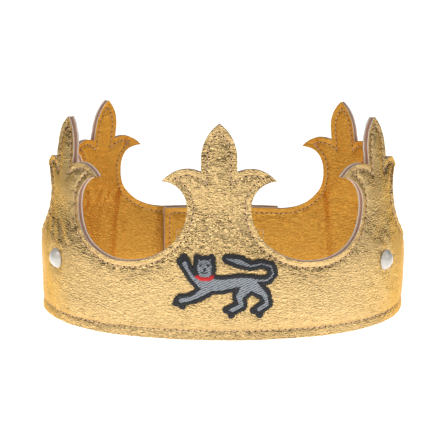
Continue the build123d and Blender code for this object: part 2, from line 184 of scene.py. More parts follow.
def circle_meet(first, first_radius, second, second_radius):
    """The meeting point of two circles that lies further up."""
    dx = second[0] - first[0]
    dz = second[1] - first[1]
    span = hypot(dx, dz)
    along = (first_radius**2 - second_radius**2 + span**2) / (2 * span)
    away = sqrt(first_radius**2 - along**2)
    side = 1 if dx >= 0 else -1
    return (
        first[0] + (along * dx - side * away * dz) / span,
        first[1] + (along * dz + side * away * dx) / span,
    )


def arc(centre, radii, start, end, step):
    """Points on an arc or ellipse from one angle to another."""
    count = max(2, int(abs(end - start) * max(radii) / step))
    turn = np.linspace(start, end, count + 1)
    return np.stack([centre[0] + radii[0] * np.cos(turn), centre[1] + radii[1] * np.sin(turn)], -1)


def run(first, last, step):
    """Points along a straight line."""
    count = max(1, int(round(hypot(last[0] - first[0], last[1] - first[1]) / step)))
    return np.linspace(first, last, count + 1)


def fleur_side(inset, step):
    """Half a fleur's outline from its foot up to its apex, at an inset from the cut edge."""
    tip_centre = (TIP_SIDE[0] - TIP_ARC_RADIUS, TIP_SIDE[1])
    tip_radius = TIP_ARC_RADIUS - inset
    shoulder = TIP_SIDE[0] - inset
    petal_radius = PETAL_RADIUS - inset
    scoop_radius = SCOOP_RADIUS + inset
    scoop_centre = (WAIST[0] + SCOOP_RADIUS, WAIST[1])
    notch_z = PETAL_CENTRE[1] + sqrt(petal_radius**2 - (shoulder - PETAL_CENTRE[0]) ** 2)
    petal_tip = circle_meet(PETAL_CENTRE, petal_radius, scoop_centre, scoop_radius)
    waist_u = WAIST[0] - inset
    foot_axes = (FOOT_U - waist_u, WAIST[1] - VALLEY_HEIGHT + inset)
    scoop_end = atan2(petal_tip[1] - scoop_centre[1], petal_tip[0] - scoop_centre[0])
    petal_start = atan2(petal_tip[1] - PETAL_CENTRE[1], petal_tip[0] - PETAL_CENTRE[0])
    petal_end = atan2(notch_z - PETAL_CENTRE[1], shoulder - PETAL_CENTRE[0])
    apex = atan2(sqrt(tip_radius**2 - tip_centre[0] ** 2), -tip_centre[0])
    pieces = [
        arc((FOOT_U, WAIST[1]), foot_axes, 1.5 * pi, pi, step),
        arc(scoop_centre, (scoop_radius, scoop_radius), pi, scoop_end, step),
        arc(PETAL_CENTRE, (petal_radius, petal_radius), petal_start, petal_end, step),
        run((shoulder, notch_z), (shoulder, TIP_SIDE[1]), step),
        arc(tip_centre, (tip_radius, tip_radius), 0.0, apex, step),
    ]
    return np.concatenate([pieces[0]] + [piece[1:] for piece in pieces[1:]])


def top_line(first, last, inset, step):
    """The top edge, or the seam below it, between two distances from the front centre."""
    side = fleur_side(inset, step)
    valley = VALLEY_HEIGHT - inset
    line = []
    for centre in (0.0, SIDE_FLEUR, BACK_FLEUR):
        if first < centre <= last:
            line.append(np.stack([centre - side[:, 0], side[:, 1]], -1))
        if first <= centre < last:
            falling = side[::-1]
            line.append(np.stack([centre + falling[:, 0], falling[:, 1]], -1))
    if last > BACK_FLEUR:
        line.append(run((BACK_FLEUR + FOOT_U, valley), (last, valley), step))
    points = np.concatenate(line)
    keep = [points[0]]
    for point in points[1:]:
        gap = hypot(point[0] - keep[-1][0], point[1] - keep[-1][1])
        if gap > 2.2 * step:
            keep.extend(run(keep[-1], point, step)[1:])
        elif gap > 0.15:
            keep.append(point)
    return np.array(keep)


def outline(first, last, step):
    """A stretch's closed cut outline, anticlockwise seen from outside on the right hand."""
    top = top_line(first, last, 0.0, step)
    bottom = run((first, 0.0), (last, 0.0), step)
    rising = run((last, 0.0), top[-1], step)[1:-1]
    falling = run(top[0], (first, 0.0), step)[1:-1]
    return np.concatenate([bottom, rising, top[::-1], falling])


def seam_lines(hand_end):
    """The seams of one hand of the strip, as lines of (distance, height)."""
    last = hand_end - SEAM_INSET
    top = top_line(0.0, last, SEAM_INSET, 1.0)
    valley = VALLEY_HEIGHT - SEAM_INSET
    return [
        run((0.0, SEAM_HEIGHT), (last, SEAM_HEIGHT), 1.5),
        top,
        run((last, SEAM_HEIGHT), (last, valley), 1.5),
    ]


SEAMS = {1: seam_lines(INNER_END), -1: seam_lines(OUTER_END)}


def near_line(points, lines):
    """Distance of each point to the nearest line, and how far along it that is."""
    starts = np.concatenate([line[:-1] for line in lines])
    ends = np.concatenate([line[1:] for line in lines])
    lengths = np.hypot(*(ends - starts).T)
    walked = np.concatenate([[0.0], np.cumsum(lengths)[:-1]])
    distance = np.empty(len(points))
    along = np.empty(len(points))
    for i in range(0, len(points), 1500):
        some = points[i:i + 1500, None, :] - starts[None]
        step = ends - starts
        t = np.clip((some * step).sum(-1) / np.maximum(lengths**2, 1e-9), 0, 1)
        away = np.hypot(*np.moveaxis(some - t[..., None] * step, -1, 0))
        best = away.argmin(1)
        rows = np.arange(len(best))
        distance[i:i + 1500] = away[rows, best]
        along[i:i + 1500] = walked[best] + t[rows, best] * lengths[best]
    return distance, along


def inside(points, loop):
    """Which points lie inside a closed outline."""
    x0, z0 = loop.T
    x1, z1 = np.roll(loop, -1, 0).T
    crossed = np.zeros(len(points), bool)
    for a, b, c, d in zip(x0, z0, x1, z1):
        if b == d:
            continue
        hit = (b > points[:, 1]) != (d > points[:, 1])
        crossed ^= hit & (points[:, 0] < a + (points[:, 1] - b) * (c - a) / (d - b))
    return crossed


def lion_depth(u, z):
    """Signed distance to the lion's edge, negative inside it."""
    depth = np.full(np.shape(u), 1e3)
    for limb in LION_LIMBS + LION_TOES:
        for (u0, z0, r0), (u1, z1, r1) in zip(limb, limb[1:]):
            du, dz = u1 - u0, z1 - z0
            t = np.clip(((u - u0) * du + (z - z0) * dz) / (du * du + dz * dz), 0, 1)
            away = np.hypot(u - u0 - t * du, z - z0 - t * dz) - (r0 + t * (r1 - r0))
            depth = np.minimum(depth, away)
    return depth


def cloud(s, z, size, seed):
    """Smooth noise over the wall, about -1 to 1."""
    return np.array([noise.noise(Vector((a / size, b / size, seed))) for a, b in zip(s, z)])


def fold(s, z):
    """How far the whole wall wanders in or out, in millimetres."""
    left = np.abs(s)
    ease = np.clip((262.0 - left) / 40.0, 0.12, 1)
    calm = np.clip(lion_depth(s, z) / 6.0, 0.0, 1) if (left < 40).any() else 1.0
    slow = 0.55 * cloud(s, z, 26.0, 3.1) + 0.28 * cloud(s * 1.6, z * 0.7, 11.0, 7.7)
    bend = np.exp(-(((left - 203.0 - 0.08 * z) / 3.6) ** 2))
    nearest = np.minimum(np.abs(left), np.minimum(np.abs(left - SIDE_FLEUR), np.abs(left - BACK_FLEUR)))
    front = np.exp(-((left / 30.0) ** 4))
    dent = np.exp(-(((z - 56.0 - 4.0 * front) / (10.0 + 3.0 * front)) ** 2)) * (1.0 + 1.2 * front)
    dent = dent * np.exp(-((nearest / 18.0) ** 2))
    stud = np.hypot(left - SIDE_FLEUR, z - PEARL_HEIGHT)
    calm = calm * np.clip((stud - 4.0) / 9.0, 0.0, 1)
    return ease * calm * slow + 1.6 * bend - 1.1 * dent


def puff(s, z, hand, settings):
    """How far the face swells off the wall, in millimetres: seams pull it down."""
    points = np.stack([np.abs(s), z], -1)
    away, along = near_line(points, SEAMS[hand])
    channel = -settings.seam_depth * np.exp(-((away / 0.95) ** 2))
    swell = settings.puff_height * (1 - np.exp(-((away / 4.5) ** 2)))
    pucker = 0.10 * np.cos(2 * pi * along / 5.8) * np.exp(-(((away - 1.6) / 1.5) ** 2))
    drag = 0.16 * cloud(along, away * 0.35, 3.6, 1.9) * np.exp(-(((away - 2.6) / 2.6) ** 2))
    crumple = 0.07 * cloud(s, z * 1.5, 4.2, 5.5)
    pearl = np.hypot(np.abs(s) - SIDE_FLEUR, z - PEARL_HEIGHT)
    around = np.arctan2(z - PEARL_HEIGHT, np.abs(s) - SIDE_FLEUR)
    dimple = -0.6 * np.exp(-((pearl / 6.4) ** 4))
    gather = 0.14 * np.cos(9 * around + 1.3) * np.exp(-(((pearl - 7.0) / 2.4) ** 2))
    left = np.abs(s)
    nearest = np.minimum(left, np.minimum(np.abs(left - SIDE_FLEUR), np.abs(left - BACK_FLEUR)))
    foot = np.exp(-(((z - 46.0) / 9.0) ** 2)) * np.exp(-((nearest / 15.0) ** 4))
    wrinkle = 0.62 * foot * cloud(s * 1.5 + z * 0.5, z, 6.5, 8.8)
    total = channel + swell + pucker + drag + crumple + dimple + gather + wrinkle
    if (np.abs(s) < 40).any():
        sewn = np.clip(lion_depth(s, z) / 3.0, 0.0, 1)
        total = total * sewn - 0.1 * np.exp(-(((lion_depth(s, z) - 1.2) / 1.0) ** 2))
    return total


def layer_place(s, z, level, hand, settings):
    """Points of a layer at a level across the wall, in metres, with fold and puff."""
    face = puff(s, z, hand, settings)
    squeeze = np.where(np.abs(level) > 0, level * (1 + face / WALL_HALF), 0.0)
    return wall_point(s, z, squeeze + fold(s, z), hand) * MM


def hexes(first, last, step):
    """A field of evenly packed points over a stretch."""
    rows = int(104.0 / (step * 0.866))
    columns = int((last - first) / step) + 2
    i, j = np.meshgrid(np.arange(columns), np.arange(rows))
    a = first + (i + 0.5 * (j % 2)) * step
    return np.stack([a.ravel(), (j.ravel() + 0.5) * step * 0.866], -1)


def tiles(loop, step):
    """Triangles over an outline: its own points first, then a field of points inside."""
    field = hexes(loop[:, 0].min(), loop[:, 0].max(), step)
    field = field[inside(field, loop)]
    closed = np.concatenate([loop, loop[:1]])
    away, _ = near_line(field, [closed])
    field = field[away > 0.55 * step]
    points = np.concatenate([loop, field])
    given = [Vector(p) for p in points.tolist()]
    result = geometry.delaunay_2d_cdt(given, [], [list(range(len(loop)))], 1, 1e-6)
    own = [ids[0] if ids else -1 for ids in result[3]]
    faces = [[own[v] for v in face] for face in result[2]]
    return points, faces


def wall_normals(s, z, level, hand, settings):
    """Outward normals of a layer's face, from the shape itself."""
    e = 0.25
    ds = layer_place(s + e * hand, z, level, hand, settings)
    ds = ds - layer_place(s - e * hand, z, level, hand, settings)
    dz = layer_place(s, z + e, level, hand, settings) - layer_place(s, z - e, level, hand, settings)
    normal = np.cross(ds, dz) * hand
    return normal / np.linalg.norm(normal, axis=1)[:, None]


def make_object(name, points, faces, materials, uvs=None):
    """A mesh object in place, with its own wall map when one is given."""
    mesh = bpy.data.meshes.new(name)
    mesh.from_pydata(np.asarray(points).tolist(), [], faces)
    for material in materials:
        mesh.materials.append(material)
    if uvs is not None:
        layer = mesh.uv_layers.new(name="wall")
        corners = np.empty(len(mesh.loops), np.int32)
        mesh.loops.foreach_get("vertex_index", corners)
        layer.data.foreach_set("uv", np.asarray(uvs, np.float32)[corners].ravel())
    mesh.validate()
    piece = bpy.data.objects.new(name, mesh)
    bpy.context.scene.collection.objects.link(piece)
    return piece


def layer_piece(name, stretch, levels, steps, insets, materials, settings, covered=False):
    """One closed layer over a stretch: outer face, cut rim rows, inner face."""
    hand, first, last, _ = STRETCHES[stretch]
    loop = outline(first, last, 1.3)
    count = len(loop)
    ahead = np.roll(loop, -1, 0) - np.roll(loop, 1, 0)
    ahead = ahead / np.hypot(*ahead.T)[:, None]
    inward = np.stack([-ahead[:, 1], ahead[:, 0]], -1)
    for place in (first, last):
        if place in (0.0, BACK_FLEUR):
            at_cut = np.abs(loop[:, 0] - place) < 1e-6
            middle = at_cut & (loop[:, 1] > 1e-6) & (loop[:, 1] < loop[at_cut, 1].max() - 1e-6)
            inward[middle] = 0
            inward[at_cut, 0] = 0
    facing, outer_faces = tiles(loop, steps[0])
    hidden, inner_faces = tiles(loop, steps[1])
    points = []
    uvs = []
    rims = []
    for row, (level, inset) in enumerate(zip(levels, insets)):
        if row == 0:
            flat = facing.copy()
        elif row == len(levels) - 1:
            flat = hidden.copy()
        else:
            flat = loop.copy()
        flat[:count] += inward * inset
        rims.append(sum(len(p) for p in points))
        depth = np.full(len(flat), float(level))
        if row or covered:
            depth[count:] *= 0.45
        points.append(layer_place(hand * flat[:, 0], flat[:, 1], depth, hand, settings))
        uvs.append(np.stack([hand * flat[:, 0], flat[:, 1]], -1) * MM)
    turn = 1 if levels[0] > levels[-1] else -1
    faces = []
    kinds = []
    order = 1 if hand * turn > 0 else -1
    for face in outer_faces:
        faces.append(face[::order])
        kinds.append(0)
    for face in inner_faces:
        faces.append([rims[-1] + v for v in face][::-order])
        kinds.append(len(levels) - 1)
    for row in range(len(levels) - 1):
        for v in range(count):
            w = (v + 1) % count
            quad = [rims[row] + v, rims[row + 1] + v, rims[row + 1] + w, rims[row] + w]
            faces.append(quad[::order])
            kinds.append(row + 1 if len(materials) > 1 else 0)
    piece = make_object(name, np.concatenate(points), faces, materials, np.concatenate(uvs))
    mesh = piece.data
    slots = np.minimum(kinds, len(materials) - 1)
    mesh.polygons.foreach_set("material_index", np.array(slots, np.int32))
    faces_up = len(outer_faces)
    rim_first = faces_up + len(inner_faces)
    normal = wall_normals(hand * facing[:, 0], facing[:, 1], levels[0], hand, settings) * turn
    split = np.empty((len(mesh.loops), 3), np.float32)
    at = 0
    polygon_normals = np.empty(len(faces) * 3, np.float32)
    mesh.polygons.foreach_get("normal", polygon_normals)
    polygon_normals = polygon_normals.reshape(-1, 3)
    for index, face in enumerate(faces):
        size = len(face)
        if index < faces_up:
            split[at:at + size] = normal[list(face)]
        else:
            split[at:at + size] = polygon_normals[index]
        at += size
    smoothed = np.array([index < faces_up or index >= rim_first for index in range(len(faces))])
    mesh.polygons.foreach_set("use_smooth", smoothed)
    mesh.normals_split_custom_set(split.tolist())
    return piece


def hang_on(piece):
    """The piece's placement is baked into its mesh."""
    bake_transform(piece)


# ---- shading ----
def add_node(tree, kind, place, **values):
    node = tree.nodes.new(kind)
    node.location = place
    for key, value in values.items():
        setattr(node, key, value)
    return node


def new_group(name, inputs, outputs):
    """A shader node group with its sockets; returns tree, input node, output node."""
    tree = bpy.data.node_groups.new(name, "ShaderNodeTree")
    for label, kind, value in inputs:
        socket = tree.interface.new_socket(label, in_out="INPUT", socket_type=kind)
        if value is not None:
            socket.default_value = value
    for label, kind in outputs:
        tree.interface.new_socket(label, in_out="OUTPUT", socket_type=kind)
    return tree, add_node(tree, "NodeGroupInput", (-900, 0)), add_node(tree, "NodeGroupOutput", (900, 0))


def math_node(tree, operation, place, first, second=None):
    node = add_node(tree, "ShaderNodeMath", place, operation=operation)
    for index, value in enumerate((first, second)):
        if value is None:
            continue
        if isinstance(value, (int, float)):
            node.inputs[index].default_value = value
        else:
            tree.links.new(value, node.inputs[index])
    return node.outputs[0]


def leather_grain_group():
    """Wavy pebble grain pressed into leatherette, and its patchy strength."""
    tree, given, out = new_group(
        "leather_grain",
        [("Vector", "NodeSocketVector", None), ("Size", "NodeSocketFloat", 0.001),
         ("Stretch", "NodeSocketFloat", 0.45)],
        [("Height", "NodeSocketFloat"), ("Creases", "NodeSocketFloat"), ("Patches", "NodeSocketFloat")],
    )
    link = tree.links.new
    scale = math_node(tree, "DIVIDE", (-700, 200), 1.0, given.outputs["Size"])
    scale_long = math_node(tree, "MULTIPLY", (-560, 260), scale, given.outputs["Stretch"])
    factors = add_node(tree, "ShaderNodeCombineXYZ", (-420, 220))
    link(scale_long, factors.inputs[0])
    link(scale, factors.inputs[1])
    link(scale, factors.inputs[2])
    sized = add_node(tree, "ShaderNodeVectorMath", (-260, 120), operation="MULTIPLY")
    link(given.outputs["Vector"], sized.inputs[0])
    link(factors.outputs[0], sized.inputs[1])
    warp = add_node(tree, "ShaderNodeTexNoise", (-100, 320))
    warp.inputs["Scale"].default_value = 0.45
    warp.inputs["Detail"].default_value = 2.0
    link(sized.outputs[0], warp.inputs["Vector"])
    shift = add_node(tree, "ShaderNodeVectorMath", (60, 300), operation="MULTIPLY_ADD")
    shift.inputs[1].default_value = (2.4, 2.4, 0.0)
    link(warp.outputs["Color"], shift.inputs[0])
    link(sized.outputs[0], shift.inputs[2])
    cells = add_node(tree, "ShaderNodeTexVoronoi", (220, 300), feature="DISTANCE_TO_EDGE")
    cells.inputs["Scale"].default_value = 1.0
    link(shift.outputs[0], cells.inputs["Vector"])
    domed = math_node(tree, "MULTIPLY", (380, 300), cells.outputs["Distance"], 2.6)
    domed = math_node(tree, "MINIMUM", (520, 300), domed, 1.0)
    domed = math_node(tree, "POWER", (660, 300), domed, 0.6)
    ripple = add_node(tree, "ShaderNodeTexNoise", (220, 0))
    ripple.inputs["Scale"].default_value = 0.9
    ripple.inputs["Detail"].default_value = 3.0
    ripple.inputs["Distortion"].default_value = 0.8
    link(sized.outputs[0], ripple.inputs["Vector"])
    mixed = math_node(tree, "MULTIPLY_ADD", (520, 80), ripple.outputs["Fac"], 0.9)
    link(domed, mixed.node.inputs[2])
    link(mixed, out.inputs["Height"])
    link(domed, out.inputs["Creases"])
    patches = add_node(tree, "ShaderNodeTexNoise", (220, -300))
    patches.inputs["Scale"].default_value = 0.045
    patches.inputs["Detail"].default_value = 2.0
    link(sized.outputs[0], patches.inputs["Vector"])
    link(patches.outputs["Fac"], out.inputs["Patches"])
    return tree


def thread_twist_group():
    """Slanting ply lines along a thread, from its own map; the Shade output is the ply height, for painted
    shade in the grooves.
    """
    tree, given, out = new_group(
        "thread_twist",
        [("Vector", "NodeSocketVector", None), ("Turns", "NodeSocketFloat", 5.0)],
        [("Height", "NodeSocketFloat"), ("Shade", "NodeSocketFloat")],
    )
    link = tree.links.new
    apart = add_node(tree, "ShaderNodeSeparateXYZ", (-600, 0))
    link(given.outputs["Vector"], apart.inputs[0])
    wound = math_node(tree, "MULTIPLY", (-400, 100), apart.outputs[0], given.outputs["Turns"])
    wound = math_node(tree, "ADD", (-240, 60), wound, apart.outputs[1])
    wound = math_node(tree, "MULTIPLY", (-80, 60), wound, 2 * pi)
    wave = math_node(tree, "SINE", (80, 60), wound)
    lifted = math_node(tree, "MULTIPLY_ADD", (240, 60), wave, 0.5)
    lifted.node.inputs[2].default_value = 0.5
    link(lifted, out.inputs["Height"])
    link(lifted, out.inputs["Shade"])
    return tree


def fibre_group():
    """Fine felted fibres, for foam, backing cloth and tape pile."""
    tree, given, out = new_group(
        "fine_fibres",
        [("Vector", "NodeSocketVector", None), ("Scale", "NodeSocketFloat", 2500.0)],
        [("Height", "NodeSocketFloat"), ("Shade", "NodeSocketFloat")],
    )
    link = tree.links.new
    pores = add_node(tree, "ShaderNodeTexVoronoi", (-300, 100))
    link(given.outputs["Scale"], pores.inputs["Scale"])
    link(given.outputs["Vector"], pores.inputs["Vector"])
    dust = add_node(tree, "ShaderNodeTexNoise", (-300, -200))
    dust.inputs["Detail"].default_value = 4.0
    link(given.outputs["Scale"], dust.inputs["Scale"])
    link(given.outputs["Vector"], dust.inputs["Vector"])
    both = math_node(tree, "MULTIPLY", (0, 0), pores.outputs["Distance"], dust.outputs["Fac"])
    link(both, out.inputs["Height"])
    link(dust.outputs["Fac"], out.inputs["Shade"])
    return tree


def new_material(name, metallic=0.0, roughness=0.5, **constants):
    """A material with its Principled shader, and its tree."""
    material = bpy.data.materials.new(name)
    material.use_nodes = True
    tree = material.node_tree
    shader = tree.nodes["Principled BSDF"]
    shader.location = (900, 0)
    tree.nodes["Material Output"].location = (1250, 0)
    shader.inputs["Metallic"].default_value = metallic
    shader.inputs["Roughness"].default_value = roughness
    for key, value in constants.items():
        shader.inputs[key.replace("_", " ")].default_value = value
    return material, tree, shader


def place_group(tree, group, place, source, **values):
    node = add_node(tree, "ShaderNodeGroup", place, node_tree=bpy.data.node_groups[group])
    if source is not None:
        tree.links.new(source, node.inputs["Vector"])
    for key, value in values.items():
        node.inputs[key].default_value = value
    return node


def ramp(tree, place, source, stops):
    """A colour ramp over a value."""
    node = add_node(tree, "ShaderNodeValToRGB", place)
    points = node.color_ramp.elements
    points[0].position, points[0].color = stops[0][0], (*stops[0][1], 1)
    points[1].position, points[1].color = stops[1][0], (*stops[1][1], 1)
    for position, colour in stops[2:]:
        points.new(position).color = (*colour, 1)
    tree.links.new(source, node.inputs["Fac"])
    return node


def bump(tree, shader, height, distance, strength):
    node = add_node(tree, "ShaderNodeBump", (650, -320))
    node.inputs["Distance"].default_value = distance
    node.inputs["Strength"].default_value = strength
    tree.links.new(height, node.inputs["Height"])
    tree.links.new(node.outputs["Normal"], shader.inputs["Normal"])


def shade(colour, factor):
    return tuple(min(1.0, channel * factor) for channel in colour[:3])


def leatherette(name, colour, grain_size, grain_depth, roughness):
    """Gold foil leatherette: pressed grain, painted shade in the grain creases, a touch paler on the pebble
    tops.
    """
    material, tree, shader = new_material(
        name, 1.0, roughness, Specular_Tint=(*shade(colour, 1.1), 1))
    link = tree.links.new
    wall = add_node(tree, "ShaderNodeUVMap", (-900, 0), uv_map="wall")
    grain = place_group(tree, "leather_grain", (-600, 0), wall.outputs[0], Size=grain_size * MM)
    # Colour by crease depth: painted shade in the grain creases, a touch paler on the pebble tops.
    cells = ramp(tree, (-250, 200), grain.outputs["Creases"],
                 [(0.0, shade(colour, 0.76)), (0.5, shade(colour, 0.98)), (1.0, shade(colour, 1.04))])
    patch = ramp(tree, (-250, -60), grain.outputs["Patches"],
                 [(0.3, (0.93, 0.90, 0.86)), (0.7, (1.0, 1.0, 1.0))])
    mixed = add_node(tree, "ShaderNodeMix", (100, 200), data_type="RGBA", blend_type="MULTIPLY")
    mixed.inputs[0].default_value = 1.0
    link(cells.outputs["Color"], mixed.inputs[6])
    link(patch.outputs["Color"], mixed.inputs[7])
    link(mixed.outputs[2], shader.inputs["Base Color"])
    worn = add_node(tree, "ShaderNodeMapRange", (100, -60))
    worn.inputs["From Min"].default_value = 0.3
    worn.inputs["From Max"].default_value = 0.7
    worn.inputs["To Min"].default_value = roughness - 0.05
    worn.inputs["To Max"].default_value = roughness + 0.07
    link(grain.outputs["Patches"], worn.inputs["Value"])
    link(worn.outputs["Result"], shader.inputs["Roughness"])
    strength = add_node(tree, "ShaderNodeMapRange", (100, -320))
    strength.inputs["From Min"].default_value = 0.3
    strength.inputs["From Max"].default_value = 0.7
    strength.inputs["To Min"].default_value = 0.45
    strength.inputs["To Max"].default_value = 1.0
    link(grain.outputs["Patches"], strength.inputs["Value"])
    height = math_node(tree, "MULTIPLY", (350, -320), grain.outputs["Height"], strength.outputs["Result"])
    bump(tree, shader, height, grain_depth * MM, 1.0)
    return material


def fibre_material(name, dark, light, scale, depth, roughness, **constants):
    """Matt material of fine fibres or pores."""
    material, tree, shader = new_material(name, 0.0, roughness, **constants)
    place = add_node(tree, "ShaderNodeTexCoord", (-900, 0))
    fibres = place_group(tree, "fine_fibres", (-600, 0), place.outputs["Object"], Scale=scale)
    colours = ramp(tree, (-250, 100), fibres.outputs["Shade"], [(0.3, dark), (0.7, light)])
    tree.links.new(colours.outputs["Color"], shader.inputs["Base Color"])
    bump(tree, shader, fibres.outputs["Height"], depth * MM, 0.8)
    return material


def thread_material(name, dark, light, turns, roughness, **constants):
    """Twisted shiny thread, with painted shade in the grooves between its plies and paler crests."""
    material, tree, shader = new_material(name, 0.0, roughness, **constants)
    wall = add_node(tree, "ShaderNodeUVMap", (-900, 0), uv_map="wall")
    twist = place_group(tree, "thread_twist", (-600, 0), wall.outputs[0], Turns=turns)
    # Colour by ply height: painted shade in the grooves, paler on the crests.
    colours = ramp(tree, (-250, 100), twist.outputs["Shade"], [(0.15, dark), (0.75, light)])
    tree.links.new(colours.outputs["Color"], shader.inputs["Base Color"])
    bump(tree, shader, twist.outputs["Height"], 0.00008, 0.7)
    return material


def pearl_material(colour):
    """Nacre-coated bead: soft gloss over faint cloudy bands."""
    material, tree, shader = new_material(
        "nacre", 0.0, 0.28, Coat_Weight=0.7, Coat_Roughness=0.12, Sheen_Weight=0.15,
        Specular_IOR_Level=0.7)
    place = add_node(tree, "ShaderNodeTexCoord", (-900, 0))
    haze = add_node(tree, "ShaderNodeTexNoise", (-650, 0))
    haze.inputs["Scale"].default_value = 160.0
    haze.inputs["Detail"].default_value = 3.0
    haze.inputs["Distortion"].default_value = 1.5
    tree.links.new(place.outputs["Object"], haze.inputs["Vector"])
    colours = ramp(tree, (-250, 100), haze.outputs["Fac"],
                   [(0.35, shade(colour, 0.86)), (0.6, shade(colour, 1.0)), (0.75, shade(colour, 1.06))])
    tree.links.new(colours.outputs["Color"], shader.inputs["Base Color"])
    bump(tree, shader, haze.outputs["Fac"], 0.00003, 0.5)
    return material


def material_of(name):
    found = bpy.data.materials.get(name)
    if found is None:
        raise RuntimeError(f"the finish {name} is not made yet")
    return found


# ---- threads ----
def thread_shape():
    """One stitch: a short rounded thread along X whose ends dip, modelled once."""
    bpy.ops.object.select_all(action="DESELECT")
    bpy.ops.mesh.primitive_uv_sphere_add(segments=6, ring_count=6, radius=1.0)
    bpy.ops.object.mode_set(mode="EDIT")
    bpy.ops.mesh.select_all(action="DESELECT")
    bpy.ops.object.mode_set(mode="OBJECT")
    stitch = bpy.context.object
    for vertex in stitch.data.vertices:
        vertex.select = 0.8 < abs(vertex.co.z) < 0.9
    bpy.ops.object.mode_set(mode="EDIT")
    bpy.ops.transform.resize(value=(1.5, 1.5, 1.0))
    bpy.ops.mesh.select_all(action="SELECT")
    bpy.ops.transform.rotate(value=pi / 2, orient_axis="Y", center_override=(0, 0, 0))
    bpy.ops.object.mode_set(mode="OBJECT")
    points = np.array([v.co[:] for v in stitch.data.vertices])
    faces = [list(p.vertices) for p in stitch.data.polygons]
    mesh = stitch.data
    bpy.data.objects.remove(stitch)
    bpy.data.meshes.remove(mesh)
    return points, faces


def lay_threads(name, shape, places, along, outward, lengths, width, sink, slots, materials):
    """Copies of one stitch laid on the wall as one piece; ends sink by the given amount."""
    points, faces = shape
    count = len(places)
    across = np.cross(outward, along)
    across /= np.linalg.norm(across, axis=1)[:, None]
    up = np.cross(along, across)
    x = points[:, 0][None, :] * (lengths / 2)[:, None]
    widths = np.broadcast_to(width, (count,))[:, None]
    y = points[:, 1] * widths / 2
    z = points[:, 2] * 0.4 * widths - sink * points[:, 0] ** 2
    laid = (
        places[:, None, :]
        + x[..., None] * along[:, None, :]
        + y[..., None] * across[:, None, :]
        + z[..., None] * up[:, None, :]
    )
    uv = np.stack([points[:, 0] / 2 + 0.5, np.arctan2(points[:, 2], points[:, 1]) / (2 * pi)], -1)
    uvs = np.tile(uv, (count, 1))
    all_faces = [[v + i * len(points) for v in face] for i in range(count) for face in faces]
    piece = make_object(name, laid.reshape(-1, 3), all_faces, materials, uvs)
    piece.data.polygons.foreach_set("use_smooth", np.ones(len(all_faces), bool))
    indices = np.repeat(np.asarray(slots, np.int32), len(faces))
    piece.data.polygons.foreach_set("material_index", indices)
    return piece


def walk(line, pitch):
    """Stitch centres and directions at an even pitch along a line."""
    steps = np.hypot(*(line[1:] - line[:-1]).T)
    walked = np.concatenate([[0.0], np.cumsum(steps)])
    count = max(1, int(round(walked[-1] / pitch)))
    marks = np.linspace(0, walked[-1], count + 1)
    at = np.stack([np.interp(marks, walked, line[:, 0]), np.interp(marks, walked, line[:, 1])], -1)
    middle = (at[1:] + at[:-1]) / 2
    direction = at[1:] - at[:-1]
    return middle, direction / np.hypot(*direction.T)[:, None]


def wall_frame(s, z, direction, level, hand, settings):
    """Place, along and outward directions on a face for stitches, in metres."""
    e = 0.4
    place = layer_place(s, z, level, hand, settings)
    ahead = layer_place(s + e * direction[:, 0], z + e * direction[:, 1], level, hand, settings)
    behind = layer_place(s - e * direction[:, 0], z - e * direction[:, 1], level, hand, settings)
    along = ahead - behind
    along /= np.linalg.norm(along, axis=1)[:, None]
    shallow = wall_point(s, z, np.full(len(s), level + np.sign(level)), hand)
    outward = shallow - wall_point(s, z, np.full(len(s), level), hand)
    outward -= (outward * along).sum(1)[:, None] * along
    outward /= np.linalg.norm(outward, axis=1)[:, None]
    return place, along, outward


# ---- settings a user would change ----
def colour_property(name, description, default):
    return bpy.props.FloatVectorProperty(
        name=name, description=description, default=default, size=3, min=0, max=1, subtype="COLOR")


class CrownLeatherSettings(bpy.types.PropertyGroup):
    shell_colour: colour_property("Shell colour", "Gold foil on the outside", (0.80, 0.565, 0.258))
    # Deeper and more orange than the shell: the lining's gold foil with a painted reflection of the gold
    # walls inside the ring.
    lining_colour: colour_property("Lining colour", "Gold foil on the inside", (0.86, 0.475, 0.088))
    foam_colour: colour_property("Foam colour", "Foam seen at the cut edges", (0.60, 0.33, 0.22))
    backing_colour: colour_property("Backing colour", "Cloth behind the foil", (0.90, 0.85, 0.78))
    grain_size: bpy.props.FloatProperty(
        name="Grain size", description="Width of one pebble of the grain, in millimetres",
        default=0.95, min=0.3, max=4.0)
    grain_depth: bpy.props.FloatProperty(
        name="Grain depth", description="Depth of the pressed grain, in millimetres",
        default=0.20, min=0.0, max=1.5)
    puff_height: bpy.props.FloatProperty(
        name="Puff", description="How far a panel swells between its seams, in millimetres",
        default=0.4, min=0.0, max=1.0)
    seam_depth: bpy.props.FloatProperty(
        name="Seam depth", description="How far a seam pulls the face in, in millimetres",
        default=0.5, min=0.0, max=0.9)
    facet: bpy.props.FloatProperty(
        name="Facet size", description="Mesh spacing of the visible faces, in millimetres",
        default=1.35, min=0.8, max=4.0)


class CrownThreadSettings(bpy.types.PropertyGroup):
    thread_colour: colour_property("Seam thread", "Thread of the edge seams", (0.80, 0.52, 0.31))
    # The needle holes are dark dots laid on the face: painted shade in place of the holes' recesses.
    hole_shade_colour: colour_property("Needle holes", "Dark needle holes", (0.055, 0.016, 0.008))
    pitch: bpy.props.FloatProperty(
        name="Stitch pitch", description="Distance between needle holes, in millimetres",
        default=2.9, min=1.5, max=6.0)
    thread_width: bpy.props.FloatProperty(
        name="Thread width", description="Width of the seam thread, in millimetres",
        default=0.55, min=0.2, max=1.2)


